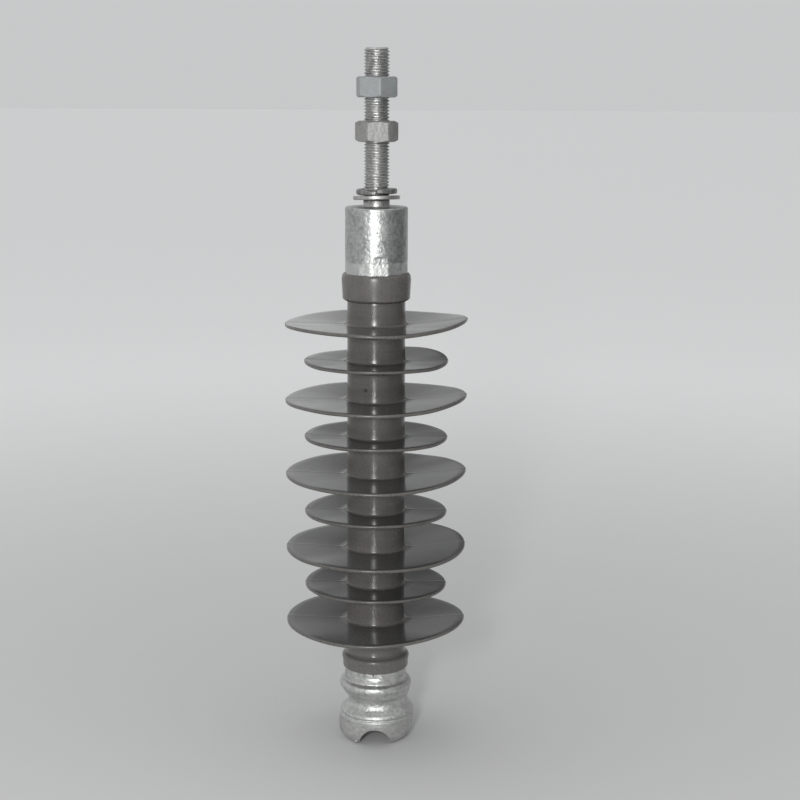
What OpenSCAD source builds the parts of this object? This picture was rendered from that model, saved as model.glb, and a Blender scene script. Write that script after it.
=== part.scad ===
// Composite pin insulator with a grooved tie top, a moulded housing and a threaded base stud.
// Z = 0 is the seat face of the base fitting. +Z runs out along the stud, and the tie top is at the bottom.

/* [Mounting stud] */
// Thread diameter of the stud
stud_d = 20; // [16:1:20]
// Length of the stud that stands out of the base fitting
stud_out = 122.5; // [116:0.5:160]
// Length of thread screwed into the base fitting
stud_in = 22; // [14:1:22]
// Diameter of the smooth shank next to the seat face
shank_d = 21.4; // [21.1:0.1:22]
// Height of the smooth shank
shank_h = 5.5; // [4:0.5:7]
// Depth of the shank's seat in the base fitting
shank_sink = 1; // [0.5:0.5:2]
// Chamfer on both ends of the stud
stud_chamfer = 1.8; // [1:0.1:2.5]

/* [Nuts] */
// Width across the flats of a nut
nut_af = 30; // [27:1:32]
// Height of a nut
nut_h = 16; // [13:0.5:16]
// Height of the lower nut's underside above the seat face
lower_nut_z = 50.5; // [45:0.5:52]
// Height of the upper nut's underside above the seat face
upper_nut_z = 84.5; // [84:0.5:90]
// Turn of the lower nut about the stud, in degrees
lower_nut_turn = 5; // [0:1:59]
// Turn of the upper nut about the stud, in degrees
upper_nut_turn = 39; // [0:1:59]
// Radial clearance of a nut on the stud
thread_gap = 0.06; // [0.02:0.01:0.1]

/* [Washers] */
// Outside diameter of the flat washer
flat_washer_d = 37; // [34:0.5:44]
// Hole diameter of the flat washer, smaller than the shank so that it rests there
flat_washer_hole = 21; // [20.6:0.1:21]
// Thickness of the flat washer
flat_washer_h = 3; // [2:0.5:4]
// Outside diameter of the spring washer
spring_washer_d = 33; // [31:0.5:36]
// Hole diameter of the spring washer
spring_washer_hole = 20.8; // [20.6:0.1:21.4]
// Thickness of the spring washer's wire
spring_washer_h = 4; // [3:0.5:5]
// How much higher one end of the spring washer stands than the other
spring_washer_rise = 1.6; // [0.5:0.1:4]
// Gap between the spring washer's two ends, in degrees
spring_washer_split = 7; // [4:1:15]

/* [Base fitting] */
// Outside diameter of the base fitting's barrel
base_d = 49.5; // [48:0.5:50]
// Length of the base fitting
base_len = 68; // [66:1:70]
// Length of the crimped stretch at the fitting's mouth
base_crimp = 26; // [20:1:32]
// Rounding of the seat face's outer edge
base_round = 2; // [1:0.5:4]
// Turn of the base fitting's crimped flats about the axis, in degrees
base_crimp_turn = 24.5; // [0:0.5:29.5]

/* [Core rod] */
// Diameter of the glass-fibre rod
rod_d = 38; // [34:1:38]
// Depth of rod in the base fitting
rod_in_base = 38; // [30:1:38]
// Depth of rod in the tie-top fitting
rod_in_top = 39; // [30:1:39]

/* [Housing] */
// Diameter of the moulded trunk between the sheds
trunk_d = 46; // [44:1:47]
// Number of sheds, large and small in turn
shed_count = 9; // [5:2:9]
// Distance from one shed to the next
shed_pitch = 30.6; // [30:0.1:31]
// Distance from the seat face to the first shed's rim
first_shed = 92.2; // [90:0.1:95]
// Diameter of the large sheds
large_shed_d = 146; // [130:1:160]
// Diameter of the small sheds
small_shed_d = 115; // [100:1:125]
// Thickness of a shed's rim
rim_t = 2.8; // [2:0.1:4]
// Slope of a shed's face on the stud side, in degrees
shed_slope_stud_side = 2.6; // [0:0.1:5]
// Slope of a shed's face on the tie-top side, in degrees
shed_slope_top_side = 8; // [5:0.5:10]
// Rounding between the sheds and the trunk
shed_fillet = 3; // [1:0.5:4]

/* [Housing collars] */
// Largest diameter of the collars
collar_d = 55; // [54:0.5:58]
// Length of the collar on the base fitting
base_collar = 21.3; // [20:0.1:24]
// Length of the collar on the tie-top fitting
top_collar = 12.8; // [12:0.1:14]

/* [Tie-top fitting] */
// Outside diameter of the crimped barrel
top_barrel_d = 50.5; // [50:0.5:51]
// Turn of the tie-top fitting's crimped flats about the axis, in degrees
top_crimp_turn = 13; // [0:0.5:29.5]
// Diameter of the bead between the barrel and the neck
bead_d = 59; // [57:0.5:61]
// Diameter of the neck groove that the tie wire lies in
neck_d = 49.6; // [48:0.1:50]
// Diameter of the head
head_d = 62.4; // [61:0.1:66]
// Radius of the conductor groove across the head
groove_r = 12.5; // [10:0.5:13]
// Depth of the conductor groove
groove_depth = 14.4; // [13:0.1:16]
// Rounding of the head's outer edge
head_round = 9.5; // [6:0.5:10]

/* [Hidden] */

$fn = 96;
rest_gap = 0.05;    // clearance under a loose washer that rests on the piece below it
seal_h = 4;         // height of the sealant ring in each fitting's mouth
seal_wall = 2.4;    // wall of the sealant ring
crimp_sides = 12;   // pressed flats around each crimped barrel
crimp_gap = 0.15;   // how far the corners between the flats would stand outside the barrel
corner_turn = 20;   // angle of a nut's first corner before the nut is turned
arc_steps = 6;      // straight steps that make up each small rounding of an outline

rod_r = rod_d / 2;
trunk_r = trunk_d / 2;
base_mouth_z = -base_len;
last_shed_z = -first_shed - (shed_count - 1) * shed_pitch;

// The tie-top fitting's levels follow the last shed.
top_mouth_z = last_shed_z - 34;
top_edge_z = last_shed_z - 40.5;                // edge of the housing on the tie-top fitting
bead_z = last_shed_z - 55.3;                    // middle of the bead
neck_z = last_shed_z - 67.5;                    // narrowest place of the neck
head_z = last_shed_z - 80.1;                    // ledge where the head's band starts
foot_z = last_shed_z - 101.7;                   // end face of the head
groove_axis_z = foot_z + groove_depth - groove_r;

base_edge_z = -first_shed + 40;                 // edge of the housing on the base fitting

// Points of an arc about [x, y], from angle a0 to a1.
function arc(x, y, r, a0, a1, n = arc_steps) =
    [for (i = [0 : n]) let (a = a0 + (a1 - a0) * i / n) [x + r * cos(a), y + r * sin(a)]];

// A ring about the Z axis from radius r0 to r1.
module ring(r0, r1, z, h) {
    translate([0, 0, z]) difference() {
        cylinder(r = r1, h = h);
        translate([0, 0, -1]) cylinder(r = r0, h = h + 2);
    }
}

// ---- stud, washers and nuts ----

module mounting_stud() {
    color("silver") {
        translate([0, 0, -stud_in]) cylinder(r1 = stud_d / 2 - stud_chamfer, r2 = stud_d / 2, h = stud_chamfer);
        translate([0, 0, stud_chamfer - stud_in])
            cylinder(r = stud_d / 2, h = stud_in - stud_chamfer - shank_sink);
        translate([0, 0, -shank_sink]) cylinder(r = shank_d / 2, h = shank_sink + shank_h);
        translate([0, 0, shank_h]) cylinder(r = stud_d / 2, h = stud_out - shank_h - stud_chamfer);
        translate([0, 0, stud_out - stud_chamfer])
            cylinder(r1 = stud_d / 2, r2 = stud_d / 2 - stud_chamfer, h = stud_chamfer);
    }
}

module flat_washer() {
    color("gainsboro")
        ring(flat_washer_hole / 2, flat_washer_d / 2, shank_h + rest_gap, flat_washer_h);
}

// A square wire swept round one turn, its second end higher than its first.
module spring_washer() {
    steps = 60;
    z0 = shank_h + flat_washer_h + 2 * rest_gap;
    start = -90 + spring_washer_split / 2;
    sweep = 360 - spring_washer_split;
    inner = spring_washer_hole / 2;
    outer = spring_washer_d / 2;
    points = [
        for (i = [0 : steps])
            let (a = start + sweep * i / steps, z = z0 + spring_washer_rise * (1 - i / steps))
                for (p = [[inner, z], [outer, z], [outer, z + spring_washer_h], [inner, z + spring_washer_h]])
                    [p[0] * cos(a), p[0] * sin(a), p[1]]
    ];
    sides = [
        for (i = [0 : steps - 1], k = [0 : 3])
            [4 * i + k, 4 * i + 4 + k, 4 * i + 4 + (k + 1) % 4, 4 * i + (k + 1) % 4]
    ];
    color("dimgray")
        polyhedron(points, concat([[0, 1, 2, 3]], sides, [[for (k = [3 : -1 : 0]) 4 * steps + k]]));
}

// A hexagon nut with 30 degree chamfers outside and countersinks inside.
module hex_nut() {
    cap_r = nut_af / 2 - 0.6;
    blank_r = nut_af / 2 / cos(30) + 1;
    bevel = (blank_r - cap_r) * tan(30);
    bore_r = stud_d / 2 + thread_gap;
    sink = 0.8;
    intersection() {
        rotate([0, 0, corner_turn]) cylinder(r = nut_af / 2 / cos(30), h = nut_h, $fn = 6);
        rotate_extrude() polygon([
            [bore_r + sink, 0], [cap_r, 0], [blank_r, bevel], [blank_r, nut_h - bevel],
            [cap_r, nut_h], [bore_r + sink, nut_h], [bore_r, nut_h - sink], [bore_r, sink]
        ]);
    }
}

module lower_nut() {
    color("lightgray") translate([0, 0, lower_nut_z]) rotate([0, 0, lower_nut_turn - corner_turn]) hex_nut();
}

module upper_nut() {
    color("darkgray") translate([0, 0, upper_nut_z]) rotate([0, 0, upper_nut_turn - corner_turn]) hex_nut();
}

// ---- fittings ----

// A round barrel whose stretch from z to z + h is pressed to flats all round, with a corner at angle turn.
module crimped(r, z, h, turn) {
    difference() {
        children();
        translate([0, 0, z]) difference() {
            cylinder(r = r + 2, h = h);
            translate([0, 0, -1]) rotate([0, 0, turn])
                cylinder(r = r + crimp_gap, h = h + 2, $fn = crimp_sides);
        }
    }
}

module base_fitting_outside() {
    crimped(base_d / 2, base_mouth_z, base_crimp, base_crimp_turn)
        rotate_extrude() polygon(concat(
            [[0, base_mouth_z], [base_d / 2, base_mouth_z]],
            arc(base_d / 2 - base_round, -base_round, base_round, 0, 90),
            [[0, 0]]
        ));
}

module base_fitting() {
    color("silver") difference() {
        base_fitting_outside();
        translate([0, 0, -stud_in - 2]) cylinder(r = stud_d / 2, h = stud_in + 3);
        translate([0, 0, -shank_sink]) cylinder(r = shank_d / 2, h = shank_sink + 1);
        translate([0, 0, base_mouth_z - 1]) cylinder(r = rod_r, h = rod_in_base + 2);
        translate([0, 0, base_mouth_z - 1]) cylinder(r = rod_r + seal_wall, h = seal_h + 1);
    }
}

module tie_top_outside() {
    barrel_r = top_barrel_d / 2;
    bead_r = 4.5;
    neck_r = 7.5;
    shoulder_r = 6.2;
    head_taper = 0.6;
    crimped(barrel_r, top_edge_z - 6, top_mouth_z - top_edge_z + 7, top_crimp_turn)
        rotate_extrude() polygon(concat(
            [[0, top_mouth_z], [barrel_r, top_mouth_z]],
            arc(bead_d / 2 - bead_r, bead_z, bead_r, 87, -50),
            arc(neck_d / 2 + neck_r, neck_z, neck_r, 130, 230),
            arc(head_d / 2 - 0.2 - shoulder_r, head_z, shoulder_r, 50, 0),
            [[head_d / 2, head_z]],
            arc(head_d / 2 - head_taper - head_round, foot_z + head_round, head_round, 0, -90),
            [[0, foot_z]]
        ));
}

module tie_top_fitting() {
    color("lightgray") difference() {
        tie_top_outside();
        translate([0, 0, top_mouth_z - rod_in_top - 1]) cylinder(r = rod_r, h = rod_in_top + 2);
        translate([0, 0, top_mouth_z - seal_h]) cylinder(r = rod_r + seal_wall, h = seal_h + 1);
        translate([0, 0, groove_axis_z]) rotate([90, 0, 0])
            cylinder(r = groove_r, h = head_d + 2, center = true);
        translate([-groove_r, -head_d / 2 - 1, foot_z - 1])
            cube([2 * groove_r, head_d + 2, groove_axis_z - foot_z + 1]);
    }
}

module base_seal() {
    color("dimgray") ring(rod_r, rod_r + seal_wall, base_mouth_z, seal_h);
}

module top_seal() {
    color("dimgray") ring(rod_r, rod_r + seal_wall, top_mouth_z - seal_h, seal_h);
}

module core_rod() {
    z0 = top_mouth_z - rod_in_top;
    z1 = base_mouth_z + rod_in_base;
    color("palegoldenrod") translate([0, 0, z0]) cylinder(r = rod_r, h = z1 - z0);
}

// ---- housing ----

// Outline of shed i, from its face on the stud side round the rim to its face on the tie-top side.
function shed(i) = let (
    z = -first_shed - i * shed_pitch,
    rim_r = (i % 2 == 0 ? large_shed_d : small_shed_d) / 2 - rim_t / 2,
    f = shed_fillet,
    up = shed_slope_stud_side,
    down = shed_slope_top_side,
    reach = rim_r - trunk_r,
    root_up = z + rim_t / 2 - reach * tan(up),
    root_down = z - rim_t / 2 - reach * tan(down)
) concat(
    arc(trunk_r + f / 2, root_up + f / 2 * (1 + tan(up)), f / 2, 180, 270 + up),
    arc(rim_r, z, rim_t / 2, 90 + up, -90 + down, 2 * arc_steps),
    arc(trunk_r + f, root_down - f * (1 - tan(down)), f, 90 + down, 180)
);

module silicone_housing() {
    collar_r = collar_d / 2;
    collar_end = base_edge_z - base_collar;
    lip = 2.2;
    color([0.42, 0.42, 0.41]) difference() {
        rotate_extrude() polygon(concat(
            [[0, base_edge_z]],
            arc(collar_r - 0.4 - lip, base_edge_z - lip, lip, 90, 0),
            [
                [collar_r, base_edge_z - 5], [collar_r - 1.1, collar_end + 3.3],
                [trunk_r + 1, collar_end], [trunk_r, collar_end - 1]
            ],
            [for (i = [0 : shed_count - 1]) each shed(i)],
            [[trunk_r, top_edge_z + top_collar + 0.6], [trunk_r + 0.6, top_edge_z + top_collar]],
            arc(collar_r - 3, top_edge_z + top_collar - 4, 3, 80, -10),
            [[collar_r - 0.7, top_edge_z + 5.5]],
            arc(collar_r - 1.7, top_edge_z + 1, 1, 0, -90),
            [[0, top_edge_z]]
        ));
        translate([0, 0, top_edge_z - 1]) cylinder(r = rod_r, h = base_edge_z - top_edge_z + 2);
        base_fitting_outside();
        tie_top_outside();
    }
}

mounting_stud();
flat_washer();
spring_washer();
lower_nut();
upper_nut();
base_fitting();
base_seal();
core_rod();
silicone_housing();
top_seal();
tie_top_fitting();
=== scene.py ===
"""A composite pin insulator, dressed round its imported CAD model.

Lengths inside the classes are millimetres in the row frame: Z is 0 at the base fitting's seat face and rises
along the stud. Each mesh is scaled to metres when it becomes a piece.
"""

import logging
import math
from collections.abc import Callable, Sequence
from dataclasses import dataclass
from enum import Enum
from functools import cache

import bmesh
import bpy
from mathutils import Matrix, Vector, noise


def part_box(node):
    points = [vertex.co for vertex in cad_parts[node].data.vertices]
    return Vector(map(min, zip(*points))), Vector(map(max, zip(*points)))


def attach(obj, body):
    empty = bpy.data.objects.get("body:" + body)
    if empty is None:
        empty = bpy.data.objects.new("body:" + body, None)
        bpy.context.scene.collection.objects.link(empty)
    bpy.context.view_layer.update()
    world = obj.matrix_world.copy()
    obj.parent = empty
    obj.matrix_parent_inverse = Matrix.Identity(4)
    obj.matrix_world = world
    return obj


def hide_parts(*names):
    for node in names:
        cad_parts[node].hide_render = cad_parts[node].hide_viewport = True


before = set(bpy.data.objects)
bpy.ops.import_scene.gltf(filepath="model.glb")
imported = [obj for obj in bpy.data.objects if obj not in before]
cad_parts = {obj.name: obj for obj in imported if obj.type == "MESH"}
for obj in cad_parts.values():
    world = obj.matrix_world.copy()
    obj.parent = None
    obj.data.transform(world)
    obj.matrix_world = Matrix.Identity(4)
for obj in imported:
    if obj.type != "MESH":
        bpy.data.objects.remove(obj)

MM = 0.001
LOG = logging.getLogger("pin_insulator")
Point = tuple[float, float]
Colour = tuple[float, float, float]
Parts = list[bmesh.types.BMVert | bmesh.types.BMEdge | bmesh.types.BMFace]


# ---------------------------------------------------------------- outlines and meshes


@dataclass(frozen=True)
class Span:
    """The heights and the radius, in millimetres, that a CAD node takes up."""

    low: float
    high: float
    radius: float

    @classmethod
    def of(cls, node: str) -> "Span":
        """Measures a CAD node.

        Args:
            node: name of the CAD node.

        Returns:
            Its span at rest.
        """
        low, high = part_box(node)
        return cls(low.z / MM, high.z / MM, (high.x - low.x) / 2 / MM)


def arc(x: float, z: float, radius: float, start: float, end: float, steps: int = 6) -> list[Point]:
    """Points along an arc of an outline.

    Args:
        x: radius from the axis of the arc's centre.
        z: height of the arc's centre.
        radius: radius of the arc.
        start: first angle in degrees.
        end: last angle in degrees.
        steps: straight steps in the arc.

    Returns:
        The points, both ends among them.
    """
    angles = (math.radians(start + (end - start) * i / steps) for i in range(steps + 1))
    return [(x + radius * math.cos(a), z + radius * math.sin(a)) for a in angles]


def divided(outline: Sequence[Point], longest: float) -> list[Point]:
    """Splits an outline's long stretches, so that its mesh can be bent.

    Args:
        outline: the points of the outline.
        longest: the longest step to leave.

    Returns:
        The outline with points added.
    """
    points = [outline[0]]
    for (r0, z0), (r1, z1) in zip(outline, outline[1:]):
        count = max(1, math.ceil(math.hypot(r1 - r0, z1 - z0) / longest))
        points += [(r0 + (r1 - r0) * i / count, z0 + (z1 - z0) * i / count) for i in range(1, count + 1)]
    return points


def smooth(value: float, low: float, high: float) -> float:
    """An S-curve from 0 at low to 1 at high."""
    t = min(1.0, max(0.0, (value - low) / (high - low)))
    return t * t * (3 - 2 * t)


def lobe(value: float, width: float) -> float:
    """A bell curve that is 1 at 0 and falls off over width."""
    return math.exp(-((value / width) ** 2))


def turned(a: float, b: float) -> float:
    """The angle from b to a in radians, between -pi and pi."""
    return (a - b + math.pi) % math.tau - math.pi


def everything(mesh: bmesh.types.BMesh) -> Parts:
    """All the vertices, edges and faces of a mesh."""
    return [*mesh.verts, *mesh.edges, *mesh.faces]


def corners_of(parts: Parts) -> list[bmesh.types.BMVert]:
    """The vertices among some parts of a mesh."""
    return [part for part in parts if isinstance(part, bmesh.types.BMVert)]


def drawn(mesh: bmesh.types.BMesh, outline: Sequence[Point]) -> tuple[Parts, Parts]:
    """Draws an outline in the XZ plane, as its vertices and its edges."""
    line = [mesh.verts.new((r, 0.0, z)) for r, z in outline]
    return line, [mesh.edges.new(pair) for pair in zip(line, line[1:])]


def lathe(outline: Sequence[Point], steps: int = 192, ring: bool = False) -> bmesh.types.BMesh:
    """Spins an outline about the Z axis into a closed mesh.

    Args:
        outline: points as radius and height.
        steps: steps round the axis.
        ring: joins the last point to the first, for a shape with a hole right through.

    Returns:
        The mesh, with its faces outwards.
    """
    mesh = bmesh.new()
    line, sides = drawn(mesh, outline)
    if ring:
        sides.append(mesh.edges.new((line[-1], line[0])))
    bmesh.ops.spin(
        mesh, geom=line + sides, cent=(0, 0, 0), axis=(0, 0, 1), angle=math.tau, steps=steps, use_merge=True
    )
    bmesh.ops.remove_doubles(mesh, verts=mesh.verts, dist=1e-4)
    bmesh.ops.recalc_face_normals(mesh, faces=mesh.faces)
    return mesh


def reshape(mesh: bmesh.types.BMesh, place: Callable[[Vector], Vector]) -> None:
    """Moves every vertex of a mesh to where a function puts it."""
    for vert in mesh.verts:
        vert.co = place(vert.co)


def polar(point: Vector) -> tuple[float, float]:
    """The radius and the angle in radians of a point about the Z axis."""
    return math.hypot(point.x, point.y), math.atan2(point.y, point.x)


def at(radius: float, angle: float, z: float) -> Vector:
    """A point from its radius, angle in radians and height."""
    return Vector((radius * math.cos(angle), radius * math.sin(angle), z))


def lumps(point: Vector, size: float, depth: float) -> float:
    """Smooth unevenness of a surface, in millimetres.

    Args:
        point: place on the surface.
        size: distance from one lump to the next.
        depth: the most that the surface moves.

    Returns:
        How far the surface stands out there.
    """
    return noise.noise(point / size) * depth


def append_mesh(mesh: bmesh.types.BMesh, extra: bmesh.types.BMesh) -> None:
    """Adds a second closed shell to a mesh.

    Args:
        mesh: the mesh that grows.
        extra: the shell, which is freed.
    """
    data = bpy.data.meshes.new("extra")
    extra.to_mesh(data)
    extra.free()
    mesh.from_mesh(data)
    bpy.data.meshes.remove(data)


def as_object(mesh: bmesh.types.BMesh, name: str) -> bpy.types.Object:
    """Makes an object of a mesh, as it is.

    Args:
        mesh: the mesh, which is freed.
        name: what the object is called.

    Returns:
        The object, in the scene.
    """
    data = bpy.data.meshes.new(name)
    mesh.to_mesh(data)
    mesh.free()
    made = bpy.data.objects.new(name, data)
    bpy.context.scene.collection.objects.link(made)
    return made


@dataclass(frozen=True)
class Piece:
    """What a new piece is called, which body it rides on and which CAD node it stands for."""

    name: str
    body: str
    node: str
    slot: str
    sharp_angle: float = 35.0

    def make(self, mesh: bmesh.types.BMesh, finish: "Finish") -> None:
        """Turns a millimetre mesh into the finished piece, riding on its body.

        Args:
            mesh: the mesh, which is freed.
            finish: what it is made of.
        """
        bmesh.ops.scale(mesh, vec=(MM, MM, MM), verts=mesh.verts)
        made = as_object(mesh, self.name)
        made.data.shade_smooth()
        made.data.set_sharp_from_angle(angle=math.radians(self.sharp_angle))
        made.data.materials.append(made_of(finish))
        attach(made, self.body)
        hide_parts(self.node)
        LOG.info("%s: %d faces, on body %s", self.name, len(made.data.polygons), self.body)


# ---------------------------------------------------------------- shader graphs


class Value:
    """A shader's number socket with Python's operators, each of which adds a Math node."""

    def __init__(self, graph: "Graph", socket: bpy.types.NodeSocket) -> None:
        """Wraps a socket of a graph."""
        self.graph = graph
        self.socket = socket

    def math(self, operation: str, *others: "Value | float") -> "Value":
        """Adds a Math node with this value first.

        Args:
            operation: the Math node's operation.
            others: its other inputs.

        Returns:
            The node's result.
        """
        return self.graph.math(operation, self, *others)

    def __add__(self, other: "Value | float") -> "Value":
        """Sum."""
        return self.math("ADD", other)

    __radd__ = __add__

    def __sub__(self, other: "Value | float") -> "Value":
        """Difference."""
        return self.math("SUBTRACT", other)

    def __rsub__(self, other: "Value | float") -> "Value":
        """Difference from a number."""
        return self.graph.math("SUBTRACT", other, self)

    def __mul__(self, other: "Value | float") -> "Value":
        """Product."""
        return self.math("MULTIPLY", other)

    __rmul__ = __mul__

    def __truediv__(self, other: "Value | float") -> "Value":
        """Quotient."""
        return self.math("DIVIDE", other)

    def __rtruediv__(self, other: "Value | float") -> "Value":
        """Quotient of a number."""
        return self.graph.math("DIVIDE", other, self)

    def step(self, low: float, high: float) -> "Value":
        """An S-curve from 0 where this value is low to 1 where it is high.

        Args:
            low: value that gives 0. It may be the larger one.
            high: value that gives 1.

        Returns:
            The S-curve.
        """
        inputs = {"Value": self, "From Min": low, "From Max": high}
        node = self.graph.node("ShaderNodeMapRange", {"interpolation_type": "SMOOTHSTEP"}, inputs)
        return Value(self.graph, node.outputs[0])


Input = Value | bpy.types.NodeSocket | float | Sequence[float]


class Graph:
    """The node tree of a material or of the surroundings."""

    def __init__(self, owner: bpy.types.Material | bpy.types.World, coordinates: str = "Object") -> None:
        """Clears a node tree.

        Args:
            owner: the material or world that has it.
            coordinates: output of the Texture Coordinate node that patterns are read at.
        """
        owner.use_nodes = True
        self.owner = owner
        self.tree = owner.node_tree
        self.tree.nodes.clear()
        self.place = self.node("ShaderNodeTexCoord").outputs[coordinates]
        parts = self.node("ShaderNodeSeparateXYZ", {}, {"Vector": self.place})
        self.x, self.y, self.z = (Value(self, parts.outputs[i]) for i in range(3))

    @classmethod
    def of_material(cls, name: str) -> "Graph":
        """The empty graph of a new material."""
        return cls(bpy.data.materials.new(name))

    def node(
        self, kind: str, settings: dict[str, object] | None = None, inputs: dict[str | int, Input] | None = None
    ) -> bpy.types.Node:
        """Adds a node.

        Args:
            kind: the node's type.
            settings: its properties, which are set first.
            inputs: values or links of its sockets, by name or number.

        Returns:
            The node.
        """
        made = self.tree.nodes.new(kind)
        for key, value in (settings or {}).items():
            setattr(made, key, value)
        for key, value in (inputs or {}).items():
            source = value.socket if isinstance(value, Value) else value
            if isinstance(source, bpy.types.NodeSocket):
                self.tree.links.new(source, made.inputs[key])
            else:
                made.inputs[key].default_value = value
        return made

    def math(self, operation: str, *values: Value | float) -> Value:
        """Adds a Math node.

        Args:
            operation: its operation.
            values: its inputs in order.

        Returns:
            Its result.
        """
        node = self.node("ShaderNodeMath", {"operation": operation}, dict(enumerate(values)))
        return Value(self, node.outputs[0])

    def scaled_place(self, x: float, y: float, z: float) -> bpy.types.NodeSocket:
        """The object's coordinates, each multiplied by its own number."""
        node = self.node("ShaderNodeMapping", {}, {"Vector": self.place, "Scale": (x, y, z)})
        return node.outputs["Vector"]

    def joined(self, x: Value | float, y: Value | float, z: Value | float) -> bpy.types.NodeSocket:
        """A vector from three numbers."""
        return self.node("ShaderNodeCombineXYZ", {}, {0: x, 1: y, 2: z}).outputs[0]

    def noise(
        self, scale: float, detail: float = 3.0, rough: float = 0.55, vector: bpy.types.NodeSocket | None = None
    ) -> Value:
        """Adds a Noise texture.

        Args:
            scale: waves per metre, or per unit of the vector.
            detail: octaves.
            rough: how strong the finer octaves are.
            vector: where it is read, the object's coordinates by default.

        Returns:
            The noise, about 0.5 on average.
        """
        inputs = {"Vector": vector or self.place, "Scale": scale, "Detail": detail, "Roughness": rough}
        return Value(self, self.node("ShaderNodeTexNoise", {}, inputs).outputs[0])

    def cells(self, scale: float) -> bpy.types.Node:
        """Adds a Voronoi texture on the object's coordinates, with a number of cells per metre."""
        return self.node("ShaderNodeTexVoronoi", {}, {"Vector": self.place, "Scale": scale})

    def tinted(self, factor: Value, low: Input, high: Input) -> bpy.types.NodeSocket:
        """Mixes two colours.

        Args:
            factor: 0 for the first colour and 1 for the second.
            low: the first colour or its socket.
            high: the second colour or its socket.

        Returns:
            The mixed colour.
        """
        first, second = ((*c, 1.0) if isinstance(c, tuple) else c for c in (low, high))
        node = self.node("ShaderNodeMix", {"data_type": "RGBA"}, {0: factor, 6: first, 7: second})
        return node.outputs[2]

    def from_axis(self) -> Value:
        """Distance from the Z axis."""
        return (self.x * self.x + self.y * self.y).math("SQRT")

    def spot(self, centre: tuple[float, float, float], radius: float) -> Value:
        """A soft round mask about a point.

        Args:
            centre: the point in millimetres.
            radius: where the mask has faded out, in millimetres.

        Returns:
            1 at the centre and 0 outside.
        """
        inputs = {0: self.place, 1: tuple(c * MM for c in centre)}
        node = self.node("ShaderNodeVectorMath", {"operation": "DISTANCE"}, inputs)
        return Value(self, node.outputs["Value"]).step(radius * MM, radius * MM * 0.4)

    def bump(self, height: Value, distance: float, strength: float = 1.0) -> bpy.types.NodeSocket:
        """Turns a height into a shading normal, with the height's full range as a distance in millimetres."""
        inputs = {"Height": height, "Distance": distance * MM, "Strength": strength}
        return self.node("ShaderNodeBump", {}, inputs).outputs["Normal"]

    def finish(self, inputs: dict[str | int, Input]) -> bpy.types.Material:
        """Closes the graph with one Principled shader.

        Args:
            inputs: values or links of the shader's sockets.

        Returns:
            The material.
        """
        shader = self.node("ShaderNodeBsdfPrincipled", {}, inputs)
        self.node("ShaderNodeOutputMaterial", {}, {"Surface": shader.outputs[0]})
        return self.owner


# ---------------------------------------------------------------- finishes


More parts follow.
